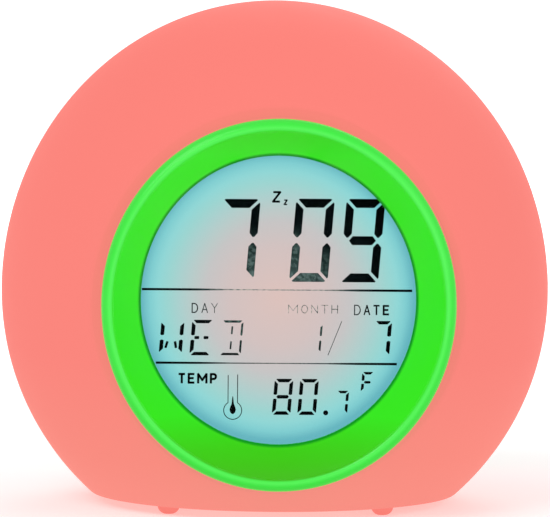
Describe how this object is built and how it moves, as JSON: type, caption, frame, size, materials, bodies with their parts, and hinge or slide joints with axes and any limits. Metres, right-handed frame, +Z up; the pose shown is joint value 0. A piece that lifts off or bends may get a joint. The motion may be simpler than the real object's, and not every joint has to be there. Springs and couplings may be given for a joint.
{
  "type": "night light alarm clock",
  "caption": "Ball-shaped bedside alarm clock with a glowing case, a round display and push buttons.",
  "frame": {"origin": "on the table plane, under the middle of the case", "axes": "+Z up, the display faces -Y, +X to the viewer's right"},
  "size_m": [0.095, 0.078, 0.087],
  "materials": {
    "case_plastic": "translucent coral, satin",
    "foot_rubber": "soft coral rubber",
    "green_plastic": "glossy bright green",
    "clear_window": "clear, polished",
    "display_glass": "faintly tinted",
    "backlight_plastic": "milky, lit from behind",
    "lamp_resin": "clear resin",
    "white_plastic": "plain white",
    "button_plastic": "plain white",
    "contact_rubber": "grey silicone",
    "circuit_board": "green lacquer",
    "black_resin": "black",
    "bright_metal": "bright plated",
    "screw_steel": "plated steel",
    "cell_metal": "plain satin can",
    "magnet_steel": "dark",
    "cone_paper": "black treated paper",
    "foam": "black foam",
    "red_insulation": "red insulation",
    "black_insulation": "black insulation",
    "ribbon_plastic": "grey insulation"
  },
  "bodies": {
    "case": {"alarm_switch_body": "bright_metal", "back_panel": "green_plastic", "back_panel_screws": "screw_steel", "backlight_diffuser": "backlight_plastic", "backlight_leds": "lamp_resin", "battery_box": "white_plastic", "battery_box_screws": "screw_steel", "battery_cells": "cell_metal", "battery_contacts": "bright_metal", "battery_springs": "bright_metal", "bezel": "green_plastic", "black_battery_lead": "black_insulation", "capacitor": "black_resin", "case_screws": "screw_steel", "contact_strip": "contact_rubber", "display_frame": "white_plastic", "display_front_glass": "display_glass", "display_rear_glass": "display_glass", "feet": "foot_rubber", "front_shell": "case_plastic", "key_board": "circuit_board", "key_board_screws": "screw_steel", "key_ribbon": "ribbon_plastic", "key_switches": "black_resin", "lamp_board": "circuit_board", "lamp_board_screws": "screw_steel", "lamp_ribbon": "ribbon_plastic", "main_board": "circuit_board", "main_board_screws": "screw_steel", "main_chip": "black_resin", "night_lamps": "lamp_resin", "quartz_crystal": "bright_metal", "rear_shell": "case_plastic", "red_battery_lead": "red_insulation", "speaker_basket": "bright_metal", "speaker_cone": "cone_paper", "speaker_gasket": "foam", "speaker_leads": "bright_metal", "speaker_magnet": "magnet_steel", "tap_sensor": "bright_metal", "temperature_sensor": "black_resin", "window": "clear_window", "wire_sockets": "white_plastic"},
    "light_key": {"light_button": "button_plastic", "light_plunger": "black_resin"},
    "up_key": {"up_button": "button_plastic", "up_plunger": "black_resin"},
    "set_key": {"set_button": "button_plastic", "set_plunger": "black_resin"},
    "down_key": {"down_button": "button_plastic", "down_plunger": "black_resin"},
    "mode_key": {"mode_button": "button_plastic", "mode_plunger": "black_resin"},
    "alarm_slider": {"alarm_switch_knob": "white_plastic"},
    "door": {"battery_door": "case_plastic"}
  },
  "joints": [
    {"name": "light_press", "type": "slide", "parent": "case", "child": "light_key", "axis": [0, -1, 0], "range_m": [0, 0.00025], "stiffness_N_per_m": 400, "springref_m": -0.0005},
    {"name": "up_press", "type": "slide", "parent": "case", "child": "up_key", "axis": [0, -1, 0], "range_m": [0, 0.00025], "stiffness_N_per_m": 400, "springref_m": -0.0005},
    {"name": "set_press", "type": "slide", "parent": "case", "child": "set_key", "axis": [0, -1, 0], "range_m": [0, 0.00025], "stiffness_N_per_m": 400, "springref_m": -0.0005},
    {"name": "down_press", "type": "slide", "parent": "case", "child": "down_key", "axis": [0, -1, 0], "range_m": [0, 0.00025], "stiffness_N_per_m": 400, "springref_m": -0.0005},
    {"name": "mode_press", "type": "slide", "parent": "case", "child": "mode_key", "axis": [0, -1, 0], "range_m": [0, 0.00025], "stiffness_N_per_m": 400, "springref_m": -0.0005},
    {"name": "alarm_slide", "type": "slide", "parent": "case", "child": "alarm_slider", "axis": [1, 0, 0], "range_m": [0, 0.003]},
    {"name": "door_swing", "type": "hinge", "parent": "case", "child": "door", "pos_m": [0, -0.0168, 0.00245], "axis": [-1, 0, 0], "range_deg": [0, 75]}
  ]
}
